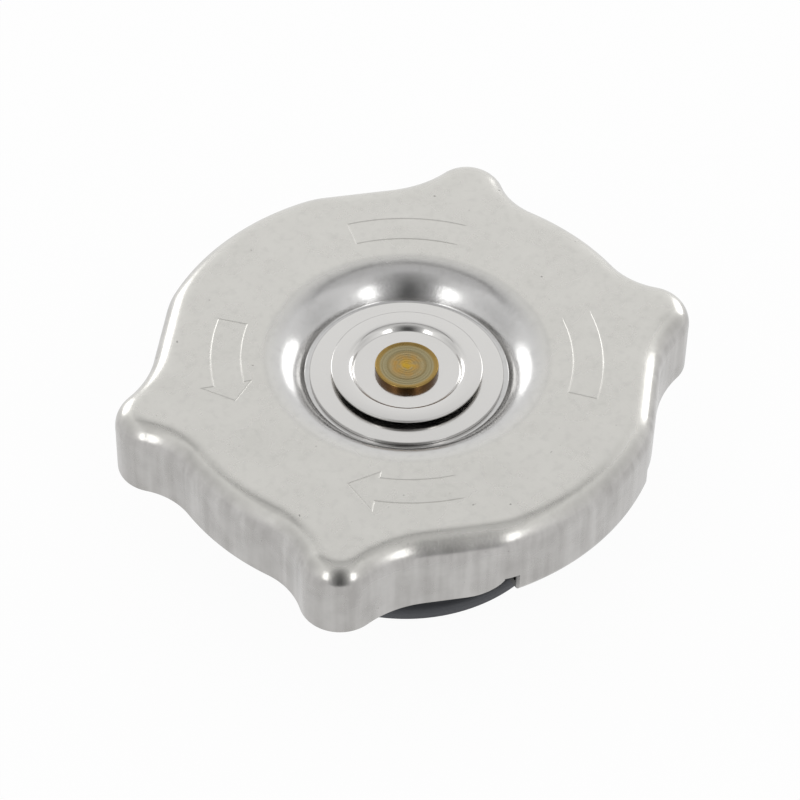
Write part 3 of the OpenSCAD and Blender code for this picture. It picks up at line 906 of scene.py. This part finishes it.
def build_card(name, bearing, rise, wide, tall, tones, plain=0.2, near=1.0):
    """Oval card that only reflections show, at a share of the studio's distance."""
    distance = near * STUDIO_R
    half_w, half_h = span(wide, distance) / 2, span(tall, distance) / 2
    mesh = bpy.data.meshes.new(name)
    rim = [cmath.rect(1, math.tau * i / CARD_STEPS) for i in range(CARD_STEPS)]
    mesh.from_pydata([(half_w * p.real, half_h * p.imag, 0) for p in rim], [], [range(CARD_STEPS)])
    card = link_object(name, mesh)
    face_middle(card, bearing, rise, distance)
    paint(card, card_material(name, half_w, half_h, tones, plain))
    card.visible_camera = False
    card.visible_diffuse = False
    card.visible_shadow = False
    card.visible_transmission = False


def seen_ray(tree):
    """1 for rays from the camera, from gloss and through glass, otherwise 0."""
    ray = node(tree, "ShaderNodeLightPath").outputs
    direct = calc(tree, "MAXIMUM", ray["Is Camera Ray"], ray["Is Glossy Ray"])
    return calc(tree, "MAXIMUM", direct, ray["Is Transmission Ray"])


def build_floor():
    """White floor that keeps the part's shadow."""
    mesh = bpy.data.meshes.new("floor")
    corners = [(-1, -1), (1, -1), (1, 1), (-1, 1)]
    mesh.from_pydata([(FLOOR_HALF * x, FLOOR_HALF * y, FLOOR_Z_M) for x, y in corners], [], [(0, 1, 2, 3)])
    floor = link_object("floor", mesh)
    constants = {"Base Color": FLOOR_TONE, "Roughness": 1.0, "Specular IOR Level": 0.0}
    material, tree, shader = new_material("floor_white", constants)
    glow = node(tree, "ShaderNodeEmission", {"Strength": 1.0})
    share = calc(tree, "MULTIPLY", seen_ray(tree), FLOOR_GLOW)
    mix = node(tree, "ShaderNodeMixShader", {"Fac": share, 1: shader.outputs[0], 2: glow.outputs[0]})
    tree.links.new(mix.outputs[0], tree.nodes["Material Output"].inputs["Surface"])
    paint(floor, material)


def build_world():
    """White surroundings that light the part a little less than they show."""
    world = bpy.data.worlds.new("studio")
    bpy.context.scene.world = world
    world.use_nodes = True
    tree = world.node_tree
    background = tree.nodes["Background"]
    background.inputs["Color"].default_value = (1, 1, 1, 1)
    tree.links.new(ramp(tree, seen_ray(tree), 0, 1, WORLD_LIGHT, 1), background.inputs["Strength"])


def build_studio():
    """Floor, surroundings, two pairs of soft lamps, and the grey cards that the metal mirrors."""
    build_floor()
    build_world()
    for side, hand in ((-1, "left"), (1, "right")):
        build_softbox("front_softbox_" + hand, bearing=37 * side, rise=34, wide=18, tall=34, brightness=1.9)
        build_softbox("back_softbox_" + hand, bearing=137 * side, rise=13, wide=30, tall=32, brightness=1.8)
        build_card("side_card_" + hand, bearing=94 * side, rise=30, wide=64, tall=70, tones=(0.75, 1.0))
    build_card("camera_card", bearing=0, rise=28, wide=54, tall=120, tones=(0.09, 0.7), near=0.6)
    build_card("seam_card", bearing=180, rise=73, wide=84, tall=6, tones=(0.1, 0.6), plain=0.5, near=0.5)
    build_card("ceiling_card", bearing=180, rise=82, wide=130, tall=70, tones=(0.66, 1.0))


# Camera: where the middle of the top lies in the picture
VIEW_ROLL = math.radians(1.4)
VIEW_DISTANCE = 400.0
PIXELS_PER_MM = 8.341
PICTURE = 800
MIDDLE_X = 407.1
MIDDLE_Y = 355.1


def build_camera():
    """Camera at the view's angle, turned so that the middle of the top lies at its place in the picture."""
    data = bpy.data.cameras.new("camera")
    data.sensor_width = 36
    data.lens = PIXELS_PER_MM * VIEW_DISTANCE / PICTURE * data.sensor_width
    data.clip_start = 0.01
    camera = link_object("camera", data)
    forward = AWAY * math.cos(VIEW_RISE) - Vector((0, 0, math.sin(VIEW_RISE)))
    up = RIGHT.cross(forward)
    right = RIGHT * math.cos(VIEW_ROLL) + up * math.sin(VIEW_ROLL)
    up = right.cross(forward)
    target = Vector((0, 0, TOP_Z))
    place = target - forward * VIEW_DISTANCE
    shift_right = (MIDDLE_X - PICTURE / 2) / PIXELS_PER_MM
    shift_up = (PICTURE / 2 - MIDDLE_Y) / PIXELS_PER_MM
    look = (target - right * shift_right - up * shift_up - place).normalized()
    side = look.cross(up).normalized()
    turned = Matrix((side, side.cross(look), -look)).transposed().to_4x4()
    camera.matrix_world = Matrix.Translation(place * MM) @ turned
    bpy.context.scene.camera = camera


SLOT_MATERIALS = {
    "cover_steel": cover_steel(),
    "polished_steel": polished_steel(),
    "rivet_brass": turned_brass(),
    "valve_brass": plain_metal("valve_brass", (0.42, 0.29, 0.09, 1), (0.58, 0.43, 0.17, 1), 0.3),
    "spring_steel": plain_metal("spring_steel", (0.36, 0.36, 0.36, 1), (0.48, 0.48, 0.47, 1), 0.25),
    "plated_steel": plain_metal("plated_steel", (0.48, 0.47, 0.43, 1), (0.6, 0.59, 0.55, 1), 0.3),
    "seal_rubber": seal_rubber(),
}

build_cover()
build_flat_washer()
build_cup_washer()
build_rivet()
build_seal()
build_spring("pressure_spring_wound", "pressure_spring", "carrier", "pressure_lift",
             PRESSURE_SPRING["high"], PRESSURE_LIFT, **PRESSURE_SPRING)
build_spring("vacuum_spring_wound", "vacuum_spring", "pressure_valve", "vacuum_drop",
             VACUUM_SPRING["low"], VACUUM_TRAVEL, **VACUUM_SPRING)
for part in frame["record"]["subparts"]:
    paint(frame["nodes"][part["node"]], SLOT_MATERIALS[part["material_slot"]])

build_studio()
build_camera()
bpy.context.scene.view_settings.view_transform = "Standard"
